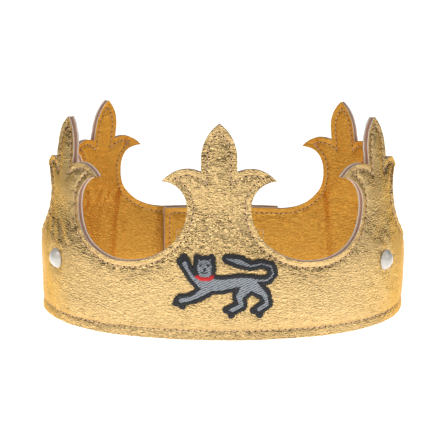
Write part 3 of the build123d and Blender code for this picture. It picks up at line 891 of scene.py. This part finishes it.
class CrownLionSettings(bpy.types.PropertyGroup):
    outline_colour: colour_property("Outline thread", "Satin outline", (0.010, 0.011, 0.014))
    fill_colour: colour_property("Fill thread", "Filling stitches", (0.45, 0.485, 0.53))
    collar_colour: colour_property("Collar thread", "Collar stitches", (0.78, 0.008, 0.006))
    spacing: bpy.props.FloatProperty(
        name="Thread spacing", description="Distance between satin stitches, in millimetres",
        default=0.34, min=0.25, max=1.0)


class CrownPearlSettings(bpy.types.PropertyGroup):
    pearl_colour: colour_property("Pearl colour", "Nacre of the pearls", (0.74, 0.70, 0.64))


class CrownStageSettings(bpy.types.PropertyGroup):
    key_power: bpy.props.FloatProperty(
        name="Key light", description="Strength of the main soft box, in watts", default=5.0, min=0)
    fill_power: bpy.props.FloatProperty(
        name="Fill light", description="Strength of the side soft boxes, in watts", default=2.2, min=0)
    room: bpy.props.FloatProperty(
        name="Room light", description="Strength of the room's even light", default=0.08, min=0)
    camera_distance: bpy.props.FloatProperty(
        name="Camera distance", description="Camera to crown", default=0.6358, min=0.2, unit="LENGTH")


class CrownSettings(bpy.types.PropertyGroup):
    leather: bpy.props.PointerProperty(type=CrownLeatherSettings)
    thread: bpy.props.PointerProperty(type=CrownThreadSettings)
    lion: bpy.props.PointerProperty(type=CrownLionSettings)
    pearl: bpy.props.PointerProperty(type=CrownPearlSettings)
    stage: bpy.props.PointerProperty(type=CrownStageSettings)


# ---- operators ----
class CROWN_OT_finishes(bpy.types.Operator):
    """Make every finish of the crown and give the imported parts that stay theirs"""
    bl_idname = "crown.finishes"
    bl_label = "Finishes"

    def execute(self, context):
        leather = context.scene.crown.leather
        thread = context.scene.crown.thread
        lion = context.scene.crown.lion
        leather_grain_group()
        thread_twist_group()
        fibre_group()
        leatherette("shell_leatherette", leather.shell_colour, leather.grain_size,
                    leather.grain_depth, 0.26)
        # The lining colour carries a painted reflection of the gold walls inside the ring.
        leatherette("lining_leatherette", leather.lining_colour, leather.grain_size * 1.3,
                    leather.grain_depth * 1.2, 0.40)
        backing = leather.backing_colour
        fibre_material("backing_cloth", shade(backing, 0.82), shade(backing, 1.08), 2600, 0.12, 0.9,
                       Sheen_Weight=0.3)
        foam = leather.foam_colour
        fibre_material("foam_cells", shade(foam, 0.72), shade(foam, 1.12), 2100, 0.25, 0.95)
        fibre_material("foam_glue_line", shade(foam, 0.30), shade(foam, 0.5), 2100, 0.2, 0.9)
        colour = thread.thread_colour
        thread_material("seam_thread", shade(colour, 0.6), shade(colour, 1.25), 3.0, 0.45,
                        Sheen_Weight=0.4)
        pale = (0.86, 0.74, 0.52)
        thread_material("tape_thread", shade(pale, 0.7), shade(pale, 1.1), 3.0, 0.5, Sheen_Weight=0.4)
        # Needle hole finish: near-black painted shade for the dots at the holes.
        hole = thread.hole_shade_colour
        fibre_material("needle_hole_painted_shade", shade(hole, 0.6), shade(hole, 1.3), 3000, 0.05, 0.8)
        for name, tone, gloss in (
            ("outline_thread", lion.outline_colour, 0.42),
            ("fill_thread", lion.fill_colour, 0.45),
            ("collar_thread", lion.collar_colour, 0.4),
        ):
            thread_material(name, shade(tone, 0.62), shade(tone, 1.25), 4.0, gloss, Sheen_Weight=0.25)
        # A darker copy of the grey fill under the fill stitches: painted shade in the gaps between them.
        shaded_fill = shade(lion.fill_colour, 0.30)
        fibre_material("fill_ground_painted_shade", shade(shaded_fill, 0.7), shade(shaded_fill, 1.3), 2500, 0.1, 0.8)
        pearl_material(context.scene.crown.pearl.pearl_colour)
        fibre_material("clear_cap", (0.72, 0.73, 0.74), (0.84, 0.85, 0.86), 300, 0.02, 0.25,
                       Coat_Weight=0.5, Transmission_Weight=0.35)
        fibre_material("hook_pile", (0.34, 0.22, 0.10), (0.62, 0.43, 0.22), 1500, 0.5, 0.7)
        fibre_material("loop_pile", (0.42, 0.29, 0.15), (0.70, 0.52, 0.30), 2300, 0.4, 0.95,
                       Sheen_Weight=0.5)
        for finish, tone in (
            ("lion_outline_thread_ground", lion.outline_colour),
            ("lion_collar_thread_ground", lion.collar_colour),
        ):
            fibre_material(finish, shade(tone, 0.6), shade(tone, 1.1), 2500, 0.1, 0.6)
        for node, finish in (
            ("embroidery_backing", "backing_cloth"),
            ("pearl_back_cap_left", "clear_cap"),
            ("pearl_back_cap_right", "clear_cap"),
            ("lion_outline_thread", "lion_outline_thread_ground"),
            ("lion_fill_thread", "fill_ground_painted_shade"),
            ("lion_collar_thread", "lion_collar_thread_ground"),
            ("hook_tape", "hook_pile"),
            ("loop_tape", "loop_pile"),
        ):
            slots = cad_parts[node].data.materials
            if len(slots):
                slots[0] = material_of(finish)
            else:
                slots.append(material_of(finish))
        return {"FINISHED"}


class CROWN_OT_outer_shell(bpy.types.Operator):
    """Cut, puff and crease the outer leatherette, gold outside and cloth inside"""
    bl_idname = "crown.outer_shell"
    bl_label = "Outer shell"

    def execute(self, context):
        settings = context.scene.crown.leather
        finishes = [material_of("shell_leatherette")] * 2 + [material_of("backing_cloth")]
        for stretch, parts in CAD_PARTS.items():
            piece = layer_piece(
                f"shell_{stretch}", stretch, (1.6, 1.4, 1.0, 0.7), (settings.facet, 4.5),
                (0.10, 0.0, 0.05, 0.55), finishes, settings)
            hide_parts(*[f"outer_shell_{part}" for part in parts])
            hang_on(piece)
        return {"FINISHED"}


class CROWN_OT_inner_lining(bpy.types.Operator):
    """Cut, puff and crease the gold lining that faces the head"""
    bl_idname = "crown.inner_lining"
    bl_label = "Inner lining"

    def execute(self, context):
        settings = context.scene.crown.leather
        finishes = [material_of("lining_leatherette")] * 2 + [material_of("backing_cloth")]
        for stretch, parts in CAD_PARTS.items():
            piece = layer_piece(
                f"lining_{stretch}", stretch, (-1.6, -1.4, -1.0, -0.7), (settings.facet, 4.5),
                (0.10, 0.0, 0.05, 0.55), finishes, settings)
            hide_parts(*[f"inner_lining_{part}" for part in parts])
            hang_on(piece)
        return {"FINISHED"}


class CROWN_OT_foam_core(bpy.types.Operator):
    """Cut the foam between the skins; its edge is pinched at the glue line"""
    bl_idname = "crown.foam_core"
    bl_label = "Foam core"

    def execute(self, context):
        settings = context.scene.crown.leather
        foam = material_of("foam_cells")
        finishes = [foam, foam, foam, material_of("foam_glue_line"), foam, foam, foam]
        for stretch, parts in CAD_PARTS.items():
            piece = layer_piece(
                f"foam_{stretch}", stretch, (0.98, 0.55, 0.13, -0.13, -0.55, -0.98), (3.2, 4.5),
                (0.25, 0.10, 0.32, 0.32, 0.10, 0.25), finishes, settings, covered=True)
            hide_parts(*[f"foam_core_{part}" for part in parts])
            hang_on(piece)
        return {"FINISHED"}


class CROWN_OT_edge_threads(bpy.types.Operator):
    """Sew the edge seams stitch by stitch on both faces, with dark dots of painted shade at the needle
    holes
    """
    bl_idname = "crown.edge_threads"
    bl_label = "Edge seams"

    def execute(self, context):
        settings = context.scene.crown.leather
        thread = context.scene.crown.thread
        shape = thread_shape()
        rng = np.random.default_rng(11)
        finishes = [material_of("seam_thread"), material_of("needle_hole_painted_shade")]
        for stretch, (hand, first, last, _) in STRETCHES.items():
            groups = []
            for line in SEAMS[hand]:
                middle, direction = walk(line, thread.pitch)
                mine = (middle[:, 0] >= first) & (middle[:, 0] < last)
                groups.append((middle[mine], direction[mine]))
            middle = np.concatenate([g[0] for g in groups])
            direction = np.concatenate([g[1] for g in groups])
            side = np.array([hand, 1.0])
            parts = []
            for level in (WALL_HALF, -WALL_HALF):
                place, along, outward = wall_frame(
                    hand * middle[:, 0], middle[:, 1], direction * side, level, hand, settings)
                count = len(place)
                lengths = (thread.pitch - 0.75 + rng.normal(0, 0.10, count)) * MM
                parts.append((place + outward * 0.12 * MM, along, outward, lengths,
                              np.zeros(count, int)))
                # A dark dot at each needle hole: painted shade in place of a real hole.
                hole = middle - direction * thread.pitch / 2
                spot, heading, out = wall_frame(
                    hand * hole[:, 0], hole[:, 1], direction * side, level, hand, settings)
                parts.append((spot, heading, out, np.full(count, 0.95 * MM), np.ones(count, int)))
            joined = [np.concatenate([p[i] for p in parts]) for i in range(5)]
            width = np.where(joined[4] == 1, 0.85, thread.thread_width) * MM
            piece = lay_threads(f"seam_threads_{stretch}", shape, *joined[:4], width,
                                0.14 * MM, joined[4], finishes)
            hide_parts(*[f"edge_stitching_{part}" for part in CAD_PARTS[stretch]])
            hang_on(piece)
        return {"FINISHED"}


class CROWN_OT_lion_embroidery(bpy.types.Operator):
    """Embroider the lion: grey filling, black satin outline, red collar and a plain face"""
    bl_idname = "crown.lion_embroidery"
    bl_label = "Lion embroidery"

    def outline_places(self, spacing, rng):
        grid = np.stack(np.meshgrid(np.arange(-24, 32, 0.14), np.arange(9, 46, 0.14)), -1)
        spots = grid.reshape(-1, 2)
        spots = spots[np.abs(lion_depth(spots[:, 0], spots[:, 1]) - 0.1) < 0.12]
        slope = self.slope(spots)
        spots = spots - slope * (lion_depth(spots[:, 0], spots[:, 1]) - 0.1)[:, None]
        rng.shuffle(spots)
        kept = []
        cells = {}
        for spot in spots:
            key = (int(spot[0] // spacing), int(spot[1] // spacing))
            near = [cells.get((key[0] + i, key[1] + j), ()) for i in (-1, 0, 1) for j in (-1, 0, 1)]
            if all(hypot(*(spot - other)) > spacing for group in near for other in group):
                cells.setdefault(key, []).append(spot)
                kept.append(spot)
        return np.array(kept)

    def slope(self, spots):
        e = 0.2
        u, z = spots.T
        gu = lion_depth(u + e, z) - lion_depth(u - e, z)
        gz = lion_depth(u, z + e) - lion_depth(u, z - e)
        grade = np.stack([gu, gz], -1)
        return grade / np.maximum(np.hypot(gu, gz), 1e-6)[:, None]

    def sew(self, name, finish, slot, middle, direction, lengths, proud, width, sink, settings):
        shape = self.shape
        proud = np.broadcast_to(proud, (len(middle),))
        hand = np.where(middle[:, 0] >= 0, 1, -1)
        place = np.empty((len(middle), 3))
        along = np.empty((len(middle), 3))
        outward = np.empty((len(middle), 3))
        for side in (1, -1):
            own = hand == side
            if own.any():
                s, z = middle[own].T
                place[own], along[own], outward[own] = wall_frame(
                    s, z, direction[own], WALL_HALF, side, settings)
        place = place + outward * proud[:, None] * MM
        piece = lay_threads(name, shape, place, along, outward, lengths * MM, width * MM,
                            sink * MM, np.zeros(len(middle), int),
                            [material_of(finish)])
        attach(piece, "front_panel")
        return piece

    def execute(self, context):
        settings = context.scene.crown.leather
        spacing = context.scene.crown.lion.spacing
        self.shape = thread_shape()
        rng = np.random.default_rng(5)
        edge = self.outline_places(spacing, rng)
        grade = self.slope(edge)
        wobble = rng.normal(0, 0.22, len(edge))
        turned = np.stack([grade[:, 0] * np.cos(wobble) - grade[:, 1] * np.sin(wobble),
                           grade[:, 0] * np.sin(wobble) + grade[:, 1] * np.cos(wobble)], -1)
        reach = 2.25 + rng.normal(0, 0.34, len(edge)) + 0.8 * (rng.random(len(edge)) < 0.3)
        self.sew("lion_outline_stitches", "outline_thread", "black_thread",
                 edge + turned * rng.normal(0, 0.12, (len(edge), 1)), turned, reach,
                 0.86 + rng.normal(0, 0.05, len(edge)), 0.46, 0.85, settings)
        rows = []
        for k, z in enumerate(np.arange(11.0, 44.0, 0.42)):
            start = -24 + (k * 0.83) % 2.3
            u = np.arange(start, 31, 2.3) + rng.normal(0, 0.12, len(np.arange(start, 31, 2.3)))
            rows.append(np.stack([u, np.full(len(u), z) + rng.normal(0, 0.04, len(u))], -1))
        fill = np.concatenate(rows)
        depth = lion_depth(fill[:, 0], fill[:, 1])
        fill = fill[depth < -0.55]
        tilt = 0.12 + rng.normal(0, 0.06, len(fill))
        self.sew("lion_fill_stitches", "fill_thread", "grey_thread", fill,
                 np.stack([np.cos(tilt), np.sin(tilt)], -1), 2.15 + rng.normal(0, 0.12, len(fill)),
                 0.62 + rng.normal(0, 0.03, len(fill)), 0.50, 0.22, settings)
        middle, direction = walk(np.array(COLLAR), 0.30)
        over = np.stack([-direction[:, 1], direction[:, 0]], -1)
        self.sew("lion_collar_stitches", "collar_thread", "red_thread", middle, over,
                 2.0 + rng.normal(0, 0.15, len(middle)), 1.0, 0.42, 0.4, settings)
        face = [
            ((-8.5, 37.2), 0.0, 1.3), ((-8.5, 36.8), 0.0, 1.2),
            ((-5.1, 37.2), 0.0, 1.3), ((-5.1, 36.8), 0.0, 1.2),
            ((-6.8, 35.3), 0.0, 1.9), ((-6.8, 34.9), 0.0, 1.3),
            ((-6.8, 34.2), pi / 2, 1.3),
            ((-7.7, 33.4), -0.45, 2.0), ((-5.9, 33.4), 0.45, 2.0),
        ]
        middle = np.array([f[0] for f in face])
        heading = np.array([f[1] for f in face])
        self.sew("lion_face_stitches", "outline_thread", "black_thread", middle,
                 np.stack([np.cos(heading), np.sin(heading)], -1), np.array([f[2] for f in face]),
                 1.05, 0.62, 0.25, settings)
        return {"FINISHED"}


class CROWN_OT_pearls(bpy.types.Operator):
    """Shape a pearl, flat at its back, and set one at the foot of each side point"""
    bl_idname = "crown.pearls"
    bl_label = "Pearls"

    def execute(self, context):
        for name, hand in (("right", 1), ("left", -1)):
            s = np.array([hand * SIDE_FLEUR])
            z = np.array([PEARL_HEIGHT])
            face = wall_point(s, z, np.array([WALL_HALF]), hand)[0]
            outside = wall_point(s, z, np.array([WALL_HALF + 1.0]), hand)[0]
            outward = Vector(outside - face).normalized()
            radius = (PEARL_RADIUS**2 + PEARL_DOME**2) / (2 * PEARL_DOME)
            centre = Vector(face) + outward * (PEARL_DOME - radius + 0.1)
            bpy.ops.object.select_all(action="DESELECT")
            bpy.ops.mesh.primitive_uv_sphere_add(
                segments=48, ring_count=40, radius=radius * MM,
                location=centre * MM, rotation=outward.to_track_quat("Z", "Y").to_euler())
            pearl = bpy.context.object
            pearl.name = f"pearl_bead_{name}"
            bpy.ops.object.transform_apply(location=True, rotation=True, scale=True)
            bpy.ops.object.mode_set(mode="EDIT")
            bpy.ops.mesh.select_all(action="SELECT")
            bpy.ops.mesh.bisect(plane_co=Vector(face) * MM - outward * 0.4 * MM,
                                plane_no=-outward, clear_outer=True, use_fill=True)
            bpy.ops.mesh.bevel(offset=0.35 * MM, segments=3)
            bpy.ops.mesh.select_all(action="SELECT")
            bpy.ops.mesh.normals_make_consistent(inside=False)
            bpy.ops.object.mode_set(mode="OBJECT")
            pearl.data.materials.append(material_of("nacre"))
            bpy.ops.object.shade_smooth()
            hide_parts(f"pearl_{name}")
            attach(pearl, f"{name}_wing")
        return {"FINISHED"}


class CROWN_OT_tape_threads(bpy.types.Operator):
    """Sew the box seams that hold the hook tape and the loop tape"""
    bl_idname = "crown.tape_threads"
    bl_label = "Tape seams"

    def execute(self, context):
        settings = context.scene.crown.leather
        thread = context.scene.crown.thread
        shape = thread_shape()
        rng = np.random.default_rng(23)
        for name, hand, body in (("hook", 1, "right_wing"), ("loop", -1, "outer_end")):
            back = PLAN[hand][3][1]
            before = sum(radius * (end - start) for _, radius, start, end in PLAN[hand][:3])
            reach = before + back * (pi - PLAN[hand][3][2])
            lows, highs = [
                reach - hand * back * asin(x / back) for x in (TAPE_X[0] + BOX_INSET, TAPE_X[1] - BOX_INSET)
            ]
            low_z, high_z = TAPE_Z[0] + BOX_INSET, TAPE_Z[1] - BOX_INSET
            corners = [(lows, low_z), (highs, low_z), (highs, high_z), (lows, high_z), (lows, low_z)]
            parts = []
            for first, last in zip(corners, corners[1:]):
                middle, direction = walk(np.array([first, last]), thread.pitch * 0.9)
                for face_side in (1, -1):
                    level = hand * face_side * WALL_HALF
                    lift = 0.15 + (TAPE_THICKNESS if face_side > 0 else 0.0)
                    place, along, outward = wall_frame(
                        hand * middle[:, 0], middle[:, 1], direction * np.array([hand, 1.0]),
                        level, hand, settings)
                    lengths = (thread.pitch * 0.9 - 0.6 + rng.normal(0, 0.08, len(place))) * MM
                    parts.append((place + outward * lift * MM, along, outward, lengths))
            joined = [np.concatenate([p[i] for p in parts]) for i in range(4)]
            width = thread.thread_width * MM
            piece = lay_threads(f"{name}_tape_threads", shape, *joined, width,
                                0.16 * MM, np.zeros(len(joined[0]), int), [material_of("tape_thread")])
            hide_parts(f"{name}_tape_stitching")
            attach(piece, body)
        return {"FINISHED"}


class CROWN_OT_stage(bpy.types.Operator):
    """Set the pale floor, glowing as painted light with a painted shadow in the ring and painted shade
    round the view, the soft lights and the camera
    """
    bl_idname = "crown.stage"
    bl_label = "Stage"

    def soft_box(self, name, place, size, power):
        light = bpy.data.lights.new(name, "AREA")
        light.shape = "RECTANGLE"
        light.size, light.size_y = size
        light.energy = power
        lamp = bpy.data.objects.new(name, light)
        lamp.location = place
        lamp.rotation_euler = (Vector((0, 0, 0.04)) - Vector(place)).to_track_quat("-Z", "Y").to_euler()
        bpy.context.scene.collection.objects.link(lamp)

    def execute(self, context):
        scene = context.scene
        stage = scene.crown.stage
        bpy.ops.object.select_all(action="DESELECT")
        bpy.ops.mesh.primitive_plane_add(size=30.0, location=(0, 0, -0.0002))
        floor = bpy.context.object
        floor.name = "floor"
        floor_glow, tree, shader = new_material("glowing_floor_painted_shadow", 0.0, 0.9)
        shader.inputs["Base Color"].default_value = (0.9, 0.9, 0.9, 1)
        # The floor glows: painted light, whose strength below is dimmed as painted shadow and shade.
        shader.inputs["Emission Color"].default_value = (1, 1, 1, 1)
        place = add_node(tree, "ShaderNodeTexCoord", (-700, -200))
        far = add_node(tree, "ShaderNodeVectorMath", (-500, -200), operation="LENGTH")
        tree.links.new(place.outputs["Object"], far.inputs[0])
        # Painted shadow: the glow is weaker inside and near the ring.
        glow = add_node(tree, "ShaderNodeMapRange", (-300, -200), interpolation_type="SMOOTHSTEP")
        glow.inputs["From Min"].default_value = 0.062
        glow.inputs["From Max"].default_value = 0.10
        glow.inputs["To Min"].default_value = 0.55
        glow.inputs["To Max"].default_value = 1.12
        tree.links.new(far.outputs["Value"], glow.inputs["Value"])
        apart = add_node(tree, "ShaderNodeSeparateXYZ", (-500, -450))
        tree.links.new(place.outputs["Object"], apart.inputs[0])
        # Painted shade: the glow fades on the floor towards and behind the camera.
        ahead = add_node(tree, "ShaderNodeMapRange", (-300, -450), interpolation_type="SMOOTHSTEP")
        ahead.inputs["From Min"].default_value = -0.60
        ahead.inputs["From Max"].default_value = -0.20
        ahead.inputs["To Min"].default_value = 0.15
        tree.links.new(apart.outputs["Y"], ahead.inputs["Value"])
        spread = math_node(tree, "ABSOLUTE", (-500, -650), apart.outputs["X"])
        reach = math_node(tree, "ADD", (-500, -800), apart.outputs["Y"], 0.622)
        reach = math_node(tree, "MAXIMUM", (-350, -800), reach, 0.05)
        angle = math_node(tree, "DIVIDE", (-200, -700), spread, reach)
        # Painted shade: the glow fades on the floor outside the camera's view.
        aside = add_node(tree, "ShaderNodeMapRange", (-50, -650), interpolation_type="SMOOTHSTEP")
        aside.inputs["From Min"].default_value = 0.20
        aside.inputs["From Max"].default_value = 0.70
        aside.inputs["To Min"].default_value = 1.0
        aside.inputs["To Max"].default_value = 0.45
        tree.links.new(angle, aside.inputs["Value"])
        lit = math_node(tree, "MULTIPLY", (-100, -300), glow.outputs["Result"], ahead.outputs["Result"])
        lit = math_node(tree, "MULTIPLY", (50, -300), lit, aside.outputs["Result"])
        tree.links.new(lit, shader.inputs["Emission Strength"])
        floor.data.materials.append(floor_glow)
        world = bpy.data.worlds.new("studio")
        world.use_nodes = True
        tree = world.node_tree
        background = tree.nodes["Background"]
        background.inputs["Strength"].default_value = stage.room
        background.inputs["Color"].default_value = (1, 1, 1, 1)
        scene.world = world
        self.soft_box("key_box", (-0.7, -0.8, 1.1), (0.8, 0.6), stage.key_power)
        self.soft_box("right_box", (1.0, -0.5, 0.7), (0.5, 0.8), stage.fill_power)
        self.soft_box("front_box", (0.0, -1.1, 0.75), (0.7, 0.3), stage.fill_power)
        self.soft_box("top_box", (0.0, 0.25, 1.3), (0.9, 0.6), stage.fill_power)
        scene.view_settings.view_transform = "Standard"
        pitch = 0.2078
        turn = -0.0229
        aim_height = 0.0417
        focal_length = 1191.6
        picture_width = 446
        distance = stage.camera_distance
        back = distance * cos(pitch)
        camera = bpy.data.objects.new("camera", bpy.data.cameras.new("camera"))
        camera.data.sensor_width = 36.0
        camera.data.lens = focal_length / picture_width * camera.data.sensor_width
        camera.data.clip_start = 0.01
        camera.data.clip_end = 100.0
        place = Vector((-sin(turn) * back, -cos(turn) * back, distance * sin(pitch) + aim_height))
        forward = Vector((sin(turn) * cos(pitch), cos(turn) * cos(pitch), -sin(pitch)))
        across = Vector((cos(turn), -sin(turn), 0))
        up = across.cross(forward)
        matrix = Matrix((across, up, -forward)).transposed().to_4x4()
        matrix.translation = place
        camera.matrix_world = matrix
        scene.collection.objects.link(camera)
        scene.camera = camera
        return {"FINISHED"}


class CROWN_PT_panel(bpy.types.Panel):
    bl_label = "Soft Costume Crown"
    bl_idname = "CROWN_PT_panel"
    bl_space_type = "VIEW_3D"
    bl_region_type = "UI"
    bl_category = "Crown"

    def draw(self, context):
        crown = context.scene.crown
        for title, settings in (("Leather", crown.leather), ("Seams", crown.thread),
                                ("Lion", crown.lion), ("Pearls", crown.pearl), ("Stage", crown.stage)):
            box = self.layout.box()
            box.label(text=title)
            for name in settings.bl_rna.properties.keys():
                if name not in ("name", "rna_type"):
                    box.prop(settings, name)
        column = self.layout.column(align=True)
        for operator in OPERATORS:
            column.operator(operator.bl_idname)


OPERATORS = (
    CROWN_OT_finishes,
    CROWN_OT_outer_shell,
    CROWN_OT_inner_lining,
    CROWN_OT_foam_core,
    CROWN_OT_edge_threads,
    CROWN_OT_lion_embroidery,
    CROWN_OT_pearls,
    CROWN_OT_tape_threads,
    CROWN_OT_stage,
)
CLASSES = (
    CrownLeatherSettings,
    CrownThreadSettings,
    CrownLionSettings,
    CrownPearlSettings,
    CrownStageSettings,
    CrownSettings,
    *OPERATORS,
    CROWN_PT_panel,
)


def register():
    for cls in CLASSES:
        bpy.utils.register_class(cls)
    bpy.types.Scene.crown = bpy.props.PointerProperty(type=CrownSettings)


def unregister():
    del bpy.types.Scene.crown
    for cls in reversed(CLASSES):
        bpy.utils.unregister_class(cls)


def main():
    register()
    bpy.ops.crown.stage()
    bpy.ops.crown.finishes()
    bpy.ops.crown.outer_shell()
    bpy.ops.crown.inner_lining()
    bpy.ops.crown.foam_core()
    bpy.ops.crown.edge_threads()
    bpy.ops.crown.lion_embroidery()
    bpy.ops.crown.pearls()
    bpy.ops.crown.tape_threads()


if __name__ == "__main__":
    main()
